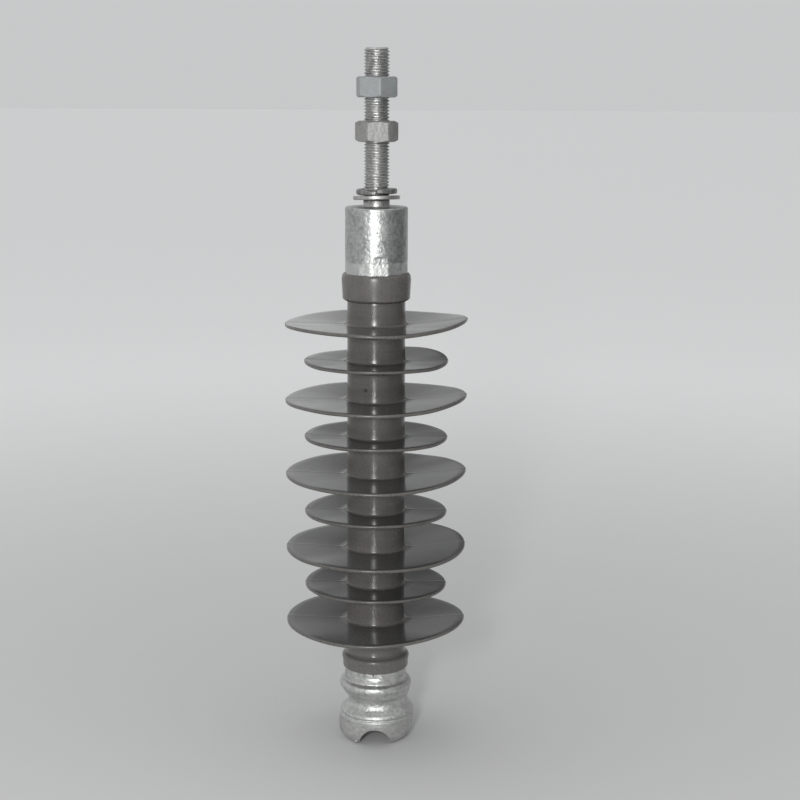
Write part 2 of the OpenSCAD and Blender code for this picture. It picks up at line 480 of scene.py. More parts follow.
@dataclass(frozen=True)
class SiliconeFinish:
    """Grey moulded silicone rubber: glossy, most of all on the sheds, with faint smears that run outwards."""

    dark: Colour = (0.084, 0.079, 0.073)
    light: Colour = (0.116, 0.110, 0.103)
    # top: colour of the painted shade on the up-facing shed tops
    top: Colour = (0.04, 0.04, 0.0405)
    # pale colour of the dust on the shed tops, also used for the painted reflection on their -X half and for the
    # lighter lower collar
    dust_and_painted_light: Colour = (0.19, 0.19, 0.188)
    trunk_radius: float = 23.0
    trunk_roughness: float = 0.19
    shed_roughness: float = 0.08
    # strength of the painted reflection on the -X half of the shed tops
    left_painted_reflection: float = 0.42
    top_painted_shade: float = 0.85
    # how much lighter the lower collar is made, and the heights over which that starts
    low_band_lift: float = 0.32
    low_band_from: Point = (-340.0, -348.0)
    cloud_scale: float = 26.0
    grain_scale: float = 520.0
    speck_scale: float = 210.0
    blemish: Colour = (0.02, 0.019, 0.018)
    blemish_radius: float = 2.2
    blemishes: tuple[tuple[float, float, float], ...] = ((-8.0, -21.6, -143.0), (-59.0, 40.0, -214.0))

    def material(self) -> bpy.types.Material:
        """Builds the material.

        Returns:
            The material.
        """
        g = Graph.of_material("silicone_rubber")
        radius = g.from_axis()
        on_shed = radius.step((self.trunk_radius + 1) * MM, (self.trunk_radius + 5) * MM)
        normal = g.node("ShaderNodeNewGeometry").outputs["Normal"]
        facing_up = Value(g, g.node("ShaderNodeSeparateXYZ", {}, {"Vector": normal}).outputs[2]).step(0.6, 0.98)
        on_top = facing_up * on_shed
        outward = g.joined(g.x / radius * 6, g.y / radius * 6, g.z * 22)
        smears = g.noise(1.0, 6.0, 0.7, outward)
        clouds = g.noise(self.cloud_scale, 4.0, 0.6)
        grain = g.noise(self.grain_scale, 4.0, 0.7)
        rings = g.noise(1.0, 5.0, 0.65, g.scaled_place(22, 22, 950))
        specks = Value(g, g.cells(self.speck_scale).outputs["Distance"]).step(0.1, 0.03) * clouds.step(0.5, 0.6)
        tone = clouds * 0.45 + grain * 0.3 + rings * (1 - on_shed) * 0.25 + smears * on_shed * 0.25
        base = g.tinted(tone.step(0.36, 0.64), self.dark, self.light)
        # painted shade: up-facing shed tops are darkened towards the top colour
        base = g.tinted(on_top * self.top_painted_shade, base, self.top)
        scuffed = smears.step(0.52, 0.74) * 0.1 + clouds.step(0.48, 0.68) * grain.step(0.42, 0.6) * 0.18
        base = g.tinted(on_top * scuffed, base, self.dust_and_painted_light)
        # painted reflection: up-facing shed tops on the -X half are lightened towards the pale colour
        base = g.tinted(on_top * g.x.step(0.01, -0.05) * self.left_painted_reflection, base, self.dust_and_painted_light)
        # the lower collar is mixed lighter from -340 mm downwards
        low_band = g.z.step(*(height * MM for height in self.low_band_from))
        base = g.tinted(low_band * self.low_band_lift, base, self.dust_and_painted_light)
        marks = specks * 0.5
        for centre in self.blemishes:
            marks = marks + g.spot(centre, self.blemish_radius)
        base = g.tinted(marks.math("MINIMUM", 1.0) * 0.7, base, self.blemish)
        worn = smears.step(0.42, 0.75) * on_shed
        gloss = self.trunk_roughness + on_shed * (self.shed_roughness - self.trunk_roughness)
        rim = on_shed * (1 - facing_up) * 0.16
        roughness = gloss + rim + worn * 0.06 + clouds.step(0.4, 0.7) * 0.06 + grain.step(0.35, 0.65) * 0.05
        relief = rings * (1 - on_shed) * 0.6 + grain * (1 - on_shed * 0.5) * 0.14 + smears * on_shed * 0.12
        return g.finish({
            "Base Color": base, "Roughness": roughness, "IOR": 1.45, "Normal": g.bump(relief, 0.06, 0.9),
        })


@dataclass(frozen=True)
class ZincFinish:
    """Zinc on steel. The numbers tell hot-dipped barrels, castings, nuts and washers apart."""

    name: str
    dark: Colour
    light: Colour
    spangle: float
    mottle: float
    roughness: Point
    relief: float
    grain: float
    stain: float
    metallic: float = 1.0
    pressed_at: Point | None = None

    def material(self) -> bpy.types.Material:
        """Builds the material.

        Returns:
            The material.
        """
        g = Graph.of_material(self.name)
        crystals = g.cells(self.spangle)
        flecks = Value(g, g.node("ShaderNodeSeparateColor", {}, {0: crystals.outputs["Color"]}).outputs[0])
        clouds = g.noise(self.mottle, 5.0, 0.65)
        grain = g.noise(self.grain, 2.0, 0.5)
        fine = g.noise(self.grain * 2.6, 3.0, 0.6)
        runs = g.noise(1.0, 4.0, 0.6, g.scaled_place(150, 150, 22))
        tone = flecks * 0.1 + clouds * 0.4 + grain * 0.34 + runs * 0.16 + fine * 0.1
        base = g.tinted(tone.step(0.36, 0.72), self.dark, self.light)
        stained = clouds.step(0.54, 0.72) * grain.step(0.42, 0.6) * self.stain
        base = g.tinted(stained, base, tuple(c * 0.4 for c in self.dark))
        low, high = self.roughness
        roughness = low + (high - low) * (0.4 * clouds.step(0.3, 0.7) + 0.2 * flecks + 0.4 * grain.step(0.3, 0.7))
        if self.pressed_at:
            start, end = (height * MM for height in self.pressed_at)
            pressed = g.z.step(start, start - MM) * g.z.step(end - MM, end)
            base = g.tinted(pressed * 0.6, base, tuple(c * 1.15 for c in self.light))
            roughness = roughness + pressed * 0.06
        relief = grain + fine * 0.16 + clouds * 0.3 + flecks * 0.03 + runs * 0.2
        return g.finish({
            "Base Color": base, "Roughness": roughness, "Metallic": self.metallic,
            "Normal": g.bump(relief, self.relief),
        })


@dataclass(frozen=True)
class RodFinish:
    """Pultruded glass-fibre rod: translucent cream resin with fibres along its length."""

    resin: Colour = (0.62, 0.56, 0.36)
    glass: Colour = (0.78, 0.74, 0.58)

    def material(self) -> bpy.types.Material:
        """Builds the material.

        Returns:
            The material.
        """
        g = Graph.of_material("glass_fibre_rod")
        fibres = g.noise(1.0, 4.0, 0.7, g.scaled_place(1800, 1800, 12))
        base = g.tinted(fibres.step(0.35, 0.65), self.resin, self.glass)
        return g.finish({"Base Color": base, "Roughness": 0.35 + fibres * 0.2, "Normal": g.bump(fibres, 0.03)})


@dataclass(frozen=True)
class SealantFinish:
    """Cured grey sealant, matt and slightly lumpy."""

    dark: Colour = (0.1, 0.1, 0.095)
    light: Colour = (0.15, 0.15, 0.145)

    def material(self) -> bpy.types.Material:
        """Builds the material.

        Returns:
            The material.
        """
        g = Graph.of_material("sealant")
        lumpy = g.noise(180.0, 3.0)
        base = g.tinted(lumpy.step(0.3, 0.7), self.dark, self.light)
        return g.finish({"Base Color": base, "Roughness": 0.5 + lumpy * 0.2, "Normal": g.bump(lumpy, 0.2)})


@dataclass(frozen=True)
class FloorFinish:
    """Pale matt board with painted shade: greyer near the insulator and on its far right."""

    near: float = 0.54
    far: float = 0.92
    shaded_side: float = 0.94
    shaded: Colour = (0.12, 0.12, 0.125)
    smudge: Colour = (0.3, 0.3, 0.3)

    def material(self) -> bpy.types.Material:
        """Builds the material.

        Returns:
            The material.
        """
        g = Graph.of_material("pale_floor")
        radius = g.from_axis()
        # painted shade: the board greys towards the insulator
        base = g.tinted(radius.step(0.1, 1.9), (self.near,) * 3, (self.far,) * 3)
        # painted shade on the far +X side
        side = (g.x / radius).step(0.5, 1.0) * radius.step(0.5, 2.2)
        base = g.tinted(side * self.shaded_side, base, self.shaded)
        base = g.tinted(g.noise(40.0, 4.0) * 0.04, base, self.smudge)
        return g.finish({"Base Color": base, "Roughness": 0.85})


class Finish(Enum):
    """Every finish of the object, by the record's slot or by the piece that has it."""

    SILICONE = SiliconeFinish()
    ROD = RodFinish()
    SEALANT = SealantFinish()
    BARREL = ZincFinish(
        "galvanised_barrel", dark=(0.29, 0.305, 0.298), light=(0.51, 0.515, 0.505), spangle=420.0, mottle=90.0,
        roughness=(0.32, 0.46), relief=0.36, grain=380.0, stain=0.5, pressed_at=(-42.4, -69.0),
    )
    CASTING = ZincFinish(
        "galvanised_head", dark=(0.39, 0.4, 0.39), light=(0.61, 0.615, 0.6), spangle=480.0, mottle=80.0,
        roughness=(0.38, 0.52), relief=0.55, grain=360.0, stain=0.5, metallic=0.85,
    )
    STUD = ZincFinish(
        "galvanised_stud", dark=(0.32, 0.325, 0.32), light=(0.56, 0.56, 0.55), spangle=380.0, mottle=120.0,
        roughness=(0.36, 0.5), relief=0.34, grain=400.0, stain=0.5,
    )
    BRIGHT_NUT = ZincFinish(
        "galvanised_nut", dark=(0.2, 0.2, 0.193), light=(0.34, 0.34, 0.327), spangle=600.0, mottle=130.0,
        roughness=(0.46, 0.64), relief=0.42, grain=420.0, stain=0.35, metallic=0.65,
    )
    DULL_NUT = ZincFinish(
        "zinc_plated_nut", dark=(0.245, 0.256, 0.26), light=(0.3, 0.313, 0.317), spangle=160.0, mottle=50.0,
        roughness=(0.46, 0.56), relief=0.1, grain=420.0, stain=0.15, metallic=0.35,
    )
    WASHER = ZincFinish(
        "galvanised_washer", dark=(0.33, 0.33, 0.322), light=(0.52, 0.52, 0.505), spangle=380.0, mottle=110.0,
        roughness=(0.32, 0.46), relief=0.3, grain=380.0, stain=0.35,
    )
    SPRING = ZincFinish(
        "galvanised_spring", dark=(0.13, 0.13, 0.13), light=(0.34, 0.34, 0.332), spangle=320.0, mottle=140.0,
        roughness=(0.38, 0.54), relief=0.4, grain=400.0, stain=0.55,
    )


@cache
def made_of(finish: Finish) -> bpy.types.Material:
    """The material of a finish, built the first time it is asked for."""
    return finish.value.material()


# ---------------------------------------------------------------- the housing


@dataclass(frozen=True)
class ShedWarp:
    """How one thin shed has set out of flat, as heights at its rim in millimetres and directions in degrees."""

    level: float = 0.0
    tilt: float = 0.0
    tilt_to: float = 0.0
    saddle: float = 0.0
    saddle_to: float = 0.0
    wave: float = 0.0
    wave_to: float = 0.0

    def height(self, angle: float) -> float:
        """How far the rim stands above flat.

        Args:
            angle: angle round the axis in radians.

        Returns:
            The height.
        """
        waves = ((self.tilt, self.tilt_to), (self.saddle, self.saddle_to), (self.wave, self.wave_to))
        bent = (size * math.cos(k * (angle - math.radians(to))) for k, (size, to) in enumerate(waves, 1))
        return self.level + sum(bent)


@dataclass(frozen=True)
class Housing:
    """The one-piece silicone housing: a collar over each fitting, the trunk and its sheds."""

    bore_radius: float = 19.0
    trunk_radius: float = 23.0
    first_shed: float = -92.2
    pitch: float = 30.6
    small_radius: float = 57.5
    rim: float = 2.8
    stud_side_slope: float = 2.6
    top_side_slope: float = 8.0
    stud_side_fillet: float = 2.6
    top_side_fillet: float = 3.0
    collar_radius: float = 27.5
    collar_lip: float = 2.2
    base_collar: float = 21.3
    top_collar: float = 12.8
    base_pocket: float = 24.6
    top_pocket: float = 25.1
    flare: float = 0.8
    flare_length: float = 4.5
    ripple: float = 0.35
    ripples_round: float = 2.2
    bend_power: float = 1.7
    coarse_fray: float = 0.45
    fine_fray: float = 0.35
    run_at: float = -93.0
    run_length: float = 2.6
    run_width: float = 0.022
    seam_height: float = 0.09
    seam_half_width: float = 0.5
    flash_height: float = 0.6
    flash_reach: float = 1.8
    flash_half_width: float = 1.4
    nib_radius: float = 73.0
    nib_growth: float = 2.2
    rim_inset: float = 0.25
    warps: tuple[ShedWarp, ...] = (
        ShedWarp(0.34, 1.46, -10, 0.90, -3, 1.05, -10),
        ShedWarp(0.42, 1.08, 49, 0.96, 44, 0.68, 43),
        ShedWarp(0.32, 1.67, -9, 0.80, -4, 0.78, -7),
        ShedWarp(-0.16, 0.30, 148, 0.11, 82, 0.13, 37),
        ShedWarp(0.44, 1.28, 13, 1.05, -6, 0.58, -7),
        ShedWarp(-0.45, 0.45, -151, 0.32, -71, 0.12, 23),
        ShedWarp(0.53, 1.62, 38, 1.18, 23, 0.43, 24),
        ShedWarp(-0.26, 0.46, 142, 0.35, -77, 0.04, -6),
        ShedWarp(-0.20, 0.64, -30, 1.30, -24, 0.40, -20),
    )

    def shed_outline(self, index: int, large_radius: float) -> list[Point]:
        """Outline of one shed from its stud side round the rim to its tie-top side.

        Args:
            index: the shed's number, from the stud end.
            large_radius: radius of the large sheds.

        Returns:
            The points.
        """
        z = self.first_shed - index * self.pitch
        rim_radius = (self.small_radius if index % 2 else large_radius) - self.rim / 2
        up, down = self.stud_side_slope, self.top_side_slope
        rise, fall = math.tan(math.radians(up)), math.tan(math.radians(down))
        reach = rim_radius - self.trunk_radius
        high = z + self.rim / 2 - reach * rise
        low = z - self.rim / 2 - reach * fall
        f, g = self.stud_side_fillet, self.top_side_fillet
        return [
            *arc(self.trunk_radius + f, high + f * (1 + rise), f, 180, 270 + up, 5),
            *arc(rim_radius, z, self.rim / 2, 90 + up, -90 + down, 10),
            *arc(self.trunk_radius + g, low - g * (1 - fall), g, 90 + down, 180, 5),
        ]

    def outline(self, span: Span, base_mouth: float, top_mouth: float) -> list[Point]:
        """Outline of the whole housing as a closed ring round the rod.

        Args:
            span: what the CAD housing takes up.
            base_mouth: height of the base fitting's mouth.
            top_mouth: height of the tie-top fitting's mouth.

        Returns:
            The points.
        """
        r, lip, trunk = self.collar_radius, self.collar_lip, self.trunk_radius
        collar_end = span.high - self.base_collar
        collar_start = span.low + self.top_collar
        sheds = [self.shed_outline(i, span.radius - self.rim_inset) for i in range(len(self.warps))]
        outside = [
            *arc(r - 0.4 - lip, span.high - lip, lip, 90, 0, 5),
            (r, span.high - 5), (r - 0.45, span.high - 13), (r - 0.7, collar_end + 3.0),
            *arc(r - 2.0, collar_end + 1.9, 1.3, 0, -50, 4),
            (trunk + 1.9, collar_end - 0.1), (trunk + 1.2, collar_end - 0.5), (trunk - 0.2, collar_end - 0.3),
            (trunk - 0.2, collar_end - 0.9), (trunk, collar_end - 1.5), (trunk, collar_end - 2.4),
            *(point for shed in sheds for point in shed),
            (trunk, collar_start + 1.6), (trunk + 0.5, collar_start + 0.3),
            *arc(r - 3, collar_start - 4, 3, 80, -10, 6),
            (r - 0.7, span.low + 5.5), (r - 0.8, span.low + 2),
            *arc(r - 1.8, span.low + 1, 1, 0, -90, 3),
        ]
        inside = [
            (self.top_pocket, span.low), (self.top_pocket, top_mouth), (self.bore_radius, top_mouth),
            (self.bore_radius, base_mouth), (self.base_pocket, base_mouth), (self.base_pocket, span.high),
        ]
        return [*divided(outside, 5.0), *divided(inside, 40.0)]

    def warped(self, point: Vector, span: Span) -> Vector:
        """Sets a point of a shed out of flat, the more the nearer it is to the rim.

        Args:
            point: where it was moulded.
            span: what the CAD housing takes up.

        Returns:
            Where it is now.
        """
        radius, angle = polar(point)
        if radius < self.trunk_radius - 0.5:
            return point
        if radius < self.trunk_radius + 0.5:
            above = (point.z - self.first_shed + self.pitch * 0.08) % self.pitch
            return at(radius + self.flare * lobe(above, self.flare_length), angle, point.z)
        index = round((self.first_shed - point.z) / self.pitch)
        if not 0 <= index < len(self.warps):
            return point
        rim_radius = self.small_radius if index % 2 else span.radius
        share = (radius - self.trunk_radius) / (rim_radius - self.trunk_radius)
        ripple = self.ripple * noise.noise(at(self.ripples_round, angle, index * 3.7))
        return point + Vector((0, 0, (self.warps[index].height(angle) + ripple) * share ** self.bend_power))

    def ragged(self, point: Vector, span: Span) -> Vector:
        """Frays the rubber's edge where it meets each fitting, with one run on the tie-top side.

        Args:
            point: a point of the housing.
            span: what the CAD housing takes up.

        Returns:
            Where it is on the frayed edge.
        """
        radius, angle = polar(point)
        edge = 1 - smooth(span.high - point.z, 0.2, 1.6) + 1 - smooth(point.z - span.low, 0.2, 1.6)
        if radius > self.collar_radius + 1 or radius < self.trunk_radius or edge <= 0:
            return point
        up = point.z > (span.high + span.low) / 2
        wave = self.fine_fray * noise.noise(at(5, angle, point.z)) + self.coarse_fray * noise.noise(at(16, angle, 7))
        run = 0.0 if up else self.run_length * lobe(turned(angle, math.radians(self.run_at)), self.run_width)
        inner = 1 - smooth(radius, self.collar_radius - 2.6, self.collar_radius - 1.0)
        return point + Vector((0, 0, edge * (wave if up else -abs(wave)) - inner * run * edge))

    def seamed(self, mesh: bmesh.types.BMesh) -> None:
        """Raises the mould's parting line along both sides, with a blob of flash where each shed leaves the trunk.

        Args:
            mesh: the turned housing, before its sheds are set out of flat.
        """
        for side in (-1, 1):
            bmesh.ops.bisect_plane(
                mesh, geom=everything(mesh), dist=1e-5,
                plane_co=(0, side * self.seam_half_width, 0), plane_no=(0, 1, 0),
            )
        mesh.normal_update()
        moves = []
        for vert in mesh.verts:
            radius = polar(vert.co)[0]
            if radius < self.trunk_radius - 0.2:
                continue
            height = self.seam_height if abs(vert.co.y) < self.seam_half_width * 0.6 else 0.0
            index = round((self.first_shed - vert.co.z) / self.pitch)
            root = self.first_shed - index * self.pitch - 1.2
            if 0 <= index < len(self.warps) and radius < self.trunk_radius + 4:
                near = math.hypot(radius - self.trunk_radius - 0.6, vert.co.z - root - 0.8)
                height += self.flash_height * lobe(near, self.flash_reach) * lobe(vert.co.y, self.flash_half_width)
            rim_radius = self.small_radius if index % 2 else self.nib_radius
            if radius > rim_radius - 1.5:
                height *= self.nib_growth
            moves.append((vert, vert.normal * height))
        for vert, move in moves:
            vert.co += move

    def build(self) -> None:
        """Makes the housing."""
        span = Span.of("silicone_housing")
        mesh = lathe(
            self.outline(span, Span.of("base_fitting").low, Span.of("tie_top_fitting").high), 192, ring=True
        )
        self.seamed(mesh)
        reshape(mesh, lambda point: self.ragged(self.warped(point, span), span))
        piece = Piece("housing_moulding", "insulator", "silicone_housing", "silicone_rubber", sharp_angle=50.0)
        piece.make(mesh, Finish.SILICONE)


# ---------------------------------------------------------------- the fittings


@dataclass(frozen=True)
class Crimp:
    """The ring of flats that a crimping press leaves on a barrel."""

    radius: float
    first_corner: float
    depths: tuple[float, ...]
    flats: int = 12
    run_in: float = 1.0

    def pressed(self, radius: float, angle: float, how_far: float) -> float:
        """Radius of a barrel's surface once pressed.

        Args:
            radius: radius before.
            angle: angle in radians.
            how_far: distance into the crimped stretch.

        Returns:
            The new radius.
        """
        step = math.tau / self.flats
        place = (angle - math.radians(self.first_corner)) / step
        off_middle = (place % 1.0 - 0.5) * step
        depth = self.depths[self.flat_number(angle) % len(self.depths)]
        flat = (self.radius - depth) / math.cos(off_middle)
        return radius + (min(radius, flat) - radius) * smooth(how_far, 0, self.run_in)

    def flat_number(self, angle: float) -> int:
        """Which flat an angle in radians falls on."""
        step = math.tau / self.flats
        return int((angle - math.radians(self.first_corner)) / step % self.flats)


@dataclass(frozen=True)
class BaseFitting:
    """The galvanised barrel that holds the rod and the stud."""

    barrel_radius: float = 24.75
    rod_radius: float = 19.0
    rod_depth: float = 39.0
    stud_radius: float = 10.0
    stud_depth: float = 24.0
    seal_radius: float = 21.4
    seal_height: float = 4.0
    edge: float = 1.4
    first_corner: float = -97.0
    crimp_depths: tuple[float, ...] = (0.7, 0.75, 0.7, 0.6, 0.6, 0.6, 0.6, 0.6, 0.6, 0.3, 0.25, 0.35)
    crimp_starts: tuple[float, ...] = (37.2, 42.6, 43.2, 42.0, 43.6, 42.9, 42.2, 43.4, 42.7, 42.1, 43.0, 43.8)

    def outline(self, span: Span) -> list[Point]:
        """Outline from the bottom of the rod's hole round the outside to the bottom of the stud's hole.

        Args:
            span: what the CAD fitting takes up.

        Returns:
            The points.
        """
        top, mouth, r = span.high, span.low, self.barrel_radius
        outside = [(r - 0.4, mouth), (r, mouth + 0.4), (r, top - self.edge)]
        return [
            (0, mouth + self.rod_depth), (self.rod_radius, mouth + self.rod_depth),
            (self.rod_radius, mouth + self.seal_height), (self.seal_radius, mouth + self.seal_height),
            (self.seal_radius, mouth), *divided(outside, 0.9),
            *arc(r - self.edge, top - self.edge, self.edge, 12, 90, 5),
            (18, top), (14, top), (self.stud_radius + 0.8, top), (self.stud_radius, top - 0.8),
            (self.stud_radius, top - self.stud_depth), (0, top - self.stud_depth),
        ]

    def build(self) -> None:
        """Makes the fitting."""
        span = Span.of("base_fitting")
        crimp = Crimp(self.barrel_radius, self.first_corner, self.crimp_depths)

        def shaped(point: Vector) -> Vector:
            """Presses the crimp and lays on the zinc's unevenness.

            Args:
                point: a point of the turned barrel.

            Returns:
                Where it ends up.
            """
            radius, angle = polar(point)
            if radius < self.seal_radius + 0.5:
                return point
            start = self.crimp_starts[crimp.flat_number(angle)]
            radius = crimp.pressed(radius, angle, span.high - start - point.z)
            return at(radius + lumps(point, 5.0, 0.1) + lumps(point, 2.0, 0.07), angle, point.z)

        mesh = lathe(self.outline(span), 288)
        reshape(mesh, shaped)
        piece = Piece("base_barrel", "insulator", "base_fitting", "galvanised_steel", sharp_angle=40.0)
        piece.make(mesh, Finish.BARREL)


@dataclass(frozen=True)
class TieTop:
    """The tie-top fitting: crimped barrel, bead, neck for the tie wire, and head with the conductor's groove."""

    barrel_radius: float = 25.25
    rod_radius: float = 19.0
    rod_depth: float = 40.0
    bead_from_foot: float = 46.4
    neck_from_foot: float = 33.8
    ledge_from_foot: float = 21.6
    bead_radius: float = 29.5
    neck_radius: float = 24.3
    groove_radius: float = 12.5
    groove_depth: float = 14.4
    head_round: float = 9.5
    taper: float = 0.9
    first_corner: float = -107.0
    crimp_depth: float = 0.6
    crimp_clearance: float = 6.0
    neck_lean: float = 2.3
    head_lean: float = 1.2
    drip_radius: float = 1.7
    drip_at: tuple[float, float, float] = (-15.3, -22.5, 2.6)
    voxel: float = 0.57
    soften_passes: int = 2

    def outline(self, span: Span) -> list[Point]:
        """Outline from the bottom of the rod's hole round the outside to the middle of the foot.

        Args:
            span: what the CAD fitting takes up.

        Returns:
            The points.
        """
        foot, mouth, head = span.low, span.high, span.radius
        hole = mouth - self.rod_depth
        ledge = foot + self.ledge_from_foot
        outside = [
            (self.barrel_radius, mouth),
            *arc(self.bead_radius - 4.5, foot + self.bead_from_foot, 4.5, 84, -50, 24),
            *arc(self.neck_radius + 7.5, foot + self.neck_from_foot, 7.5, 130, 230, 30),
            *arc(head - 6.9, ledge + 0.3, 6.2, 50, 12, 12),
            (head - 1.9, ledge + 0.9), (head - 2.1, ledge + 0.3),
            (head - 1.2, ledge - 0.2), (head - 0.4, ledge - 0.9),
            *arc(head - self.taper - self.head_round, foot + self.head_round, self.head_round, 0, -90, 20),
            (0, foot),
        ]
        return [(0, hole), (self.rod_radius, hole), (self.rod_radius, mouth), *divided(outside, 1.2)]

    def leaning(self, z: float, foot: float) -> float:
        """How far the forging's axis lies off to +X, because its dies were not quite in line.

        Args:
            z: height of the place asked about.
            foot: height of the foot.

        Returns:
            The distance.
        """
        neck = self.neck_lean * lobe(z - foot - self.neck_from_foot, 6.5)
        head = self.head_lean * smooth(z, foot + 6, foot + 22) * (1 - smooth(z, foot + 26, foot + 34))
        return neck + head

    def groove_cutter(self, span: Span) -> bpy.types.Object:
        """The tool shape that takes out the conductor's groove: a round-topped slot along Y.

        Args:
            span: what the CAD fitting takes up.

        Returns:
            The tool shape.
        """
        crown = span.low + self.groove_depth
        centre = crown - self.groove_radius
        outline = [
            (self.groove_radius, span.low - 3), *arc(0, centre, self.groove_radius, 0, 180, 32),
            (-self.groove_radius, span.low - 3),
        ]
        mesh = bmesh.new()
        face = mesh.faces.new([mesh.verts.new((x, -40, z)) for x, z in outline])
        grown = bmesh.ops.extrude_face_region(mesh, geom=[face])["geom"]
        bmesh.ops.translate(mesh, vec=(0, 80, 0), verts=corners_of(grown))
        bmesh.ops.recalc_face_normals(mesh, faces=mesh.faces)
        return as_object(mesh, "groove_cutter")

    def with_groove(self, mesh: bmesh.types.BMesh, span: Span) -> bmesh.types.BMesh:
        """Cuts the groove and softens every edge as a thick zinc coat does.

        Args:
            mesh: the turned fitting, which is freed.
            span: what the CAD fitting takes up.

        Returns:
            The cut and softened mesh.
        """
        blank = as_object(mesh, "tie_top_blank")
        cutter = self.groove_cutter(span)
        cut = blank.modifiers.new("groove", "BOOLEAN")
        cut.object, cut.operation, cut.solver = cutter, "DIFFERENCE", "EXACT"
        coat = blank.modifiers.new("coat", "REMESH")
        coat.mode, coat.voxel_size = "VOXEL", self.voxel
        bpy.context.view_layer.update()
        evaluated = blank.evaluated_get(bpy.context.evaluated_depsgraph_get())
        data = bpy.data.meshes.new_from_object(evaluated)
        softened = bmesh.new()
        softened.from_mesh(data)
        bpy.data.meshes.remove(data)
        for helper in (blank, cutter):
            bpy.data.meshes.remove(helper.data)
        for _ in range(self.soften_passes):
            bmesh.ops.smooth_vert(
                softened, verts=softened.verts, factor=0.5, use_axis_x=True, use_axis_y=True, use_axis_z=True
            )
        return softened

    def build(self) -> None:
        """Makes the fitting."""
        span = Span.of("tie_top_fitting")
        crimp = Crimp(self.barrel_radius, self.first_corner, (self.crimp_depth,))
        crimp_end = Span.of("silicone_housing").low - self.crimp_clearance

        def shaped(point: Vector) -> Vector:
            """Presses the crimp, makes the casting uneven and leans it.

            Args:
                point: a point of the turned fitting.

            Returns:
                Where it ends up.
            """
            radius, angle = polar(point)
            if radius < self.rod_radius + 1 and point.z > span.high - self.rod_depth - 1:
                return point
            if point.z > crimp_end:
                radius = crimp.pressed(radius, angle, point.z - crimp_end)
            moved = at(radius + lumps(point, 9.0, 0.25), angle, point.z)
            return moved + Vector((self.leaning(point.z, span.low), 0, 0))

        mesh = lathe(self.outline(span), 240)
        reshape(mesh, shaped)
        softened = self.with_groove(mesh, span)
        drip = bmesh.new()
        bmesh.ops.create_icosphere(drip, subdivisions=3, radius=self.drip_radius)
        bmesh.ops.translate(drip, vec=Vector(self.drip_at) + Vector((0, 0, span.low)), verts=drip.verts)
        append_mesh(softened, drip)
        reshape(softened, lambda p: Vector((p.x, p.y, max(span.low, p.z + lumps(p, 1.6, 0.06)))))
        piece = Piece("tie_top_head", "insulator", "tie_top_fitting", "galvanised_steel", sharp_angle=60.0)
        piece.make(softened, Finish.CASTING)


# ---------------------------------------------------------------- stud, washers and nuts


@dataclass(frozen=True)
class MountingStud:
    """The M20 stud with its rolled thread and the smooth shank on the seat."""

    crest: float = 9.97
    root: float = 8.65
    pitch: float = 2.5
    steps_a_turn: int = 48
    shank_radius: float = 10.4
    shank_height: float = 5.5
    chamfer: float = 1.8
    flank: tuple[Point, ...] = (
        (0.0, 0.0), (0.12, 0.0), (0.24, 0.28), (0.42, 0.93), (0.47, 1.0),
        (0.58, 1.0), (0.63, 0.93), (0.81, 0.28), (0.93, 0.0), (1.0, 0.0),
    )

    def thread(self, low: float, high: float) -> bmesh.types.BMesh:
        """A threaded rod, closed at both ends.

        Args:
            low: its lower end.
            high: its upper end.

        Returns:
            The mesh.
        """
        turns = math.ceil((high - low) / self.pitch) + 2
        depth = self.crest - self.root
        mesh = bmesh.new()
        line, sides = drawn(
            mesh, [(self.root + depth * rise, low + (share - 1) * self.pitch) for share, rise in self.flank]
        )
        bmesh.ops.spin(
            mesh, geom=line + sides, cent=(0, 0, 0), axis=(0, 0, 1), dvec=(0, 0, self.pitch / self.steps_a_turn),
            angle=math.tau, steps=self.steps_a_turn,
        )
        one_turn = everything(mesh)
        for turn in range(1, turns):
            copy = bmesh.ops.duplicate(mesh, geom=one_turn)["geom"]
            bmesh.ops.translate(mesh, vec=(0, 0, turn * self.pitch), verts=corners_of(copy))
        bmesh.ops.remove_doubles(mesh, verts=mesh.verts, dist=0.01)
        for height, way in ((low, -1), (high, 1)):
            bmesh.ops.bisect_plane(
                mesh, geom=everything(mesh), dist=1e-4,
                plane_co=(0, 0, height), plane_no=(0, 0, way), clear_outer=True,
            )
        bmesh.ops.holes_fill(mesh, edges=[edge for edge in mesh.edges if edge.is_boundary], sides=0)
        bmesh.ops.recalc_face_normals(mesh, faces=mesh.faces)
        return mesh

    def build(self) -> None:
        """Makes the stud."""
        span = Span.of("mounting_stud")
        seat = Span.of("base_fitting").high
        r, top = self.shank_radius, seat + self.shank_height

        def chamfered(point: Vector) -> Vector:
            """Wears the thread and cuts the chamfer at both ends.

            Args:
                point: a point of the thread.

            Returns:
                Where it ends up.
            """
            radius, angle = polar(point)
            nearest_end = min(span.high - point.z, point.z - span.low)
            worn = radius + lumps(point, 3.0, 0.05) + lumps(point, 1.1, 0.02)
            return at(min(worn, self.crest - self.chamfer + nearest_end), angle, point.z)

        mesh = self.thread(span.low, span.high)
        reshape(mesh, chamfered)
        shank = lathe([
            (7, seat), (r + 0.5, seat), (r + 0.15, seat + 0.5), (r, seat + 1.2), (r, top - 0.4),
            (r - 0.35, top), (7, top),
        ], 96, ring=True)
        append_mesh(mesh, shank)
        piece = Piece("threaded_stud", "insulator", "mounting_stud", "plated_steel", sharp_angle=50.0)
        piece.make(mesh, Finish.STUD)


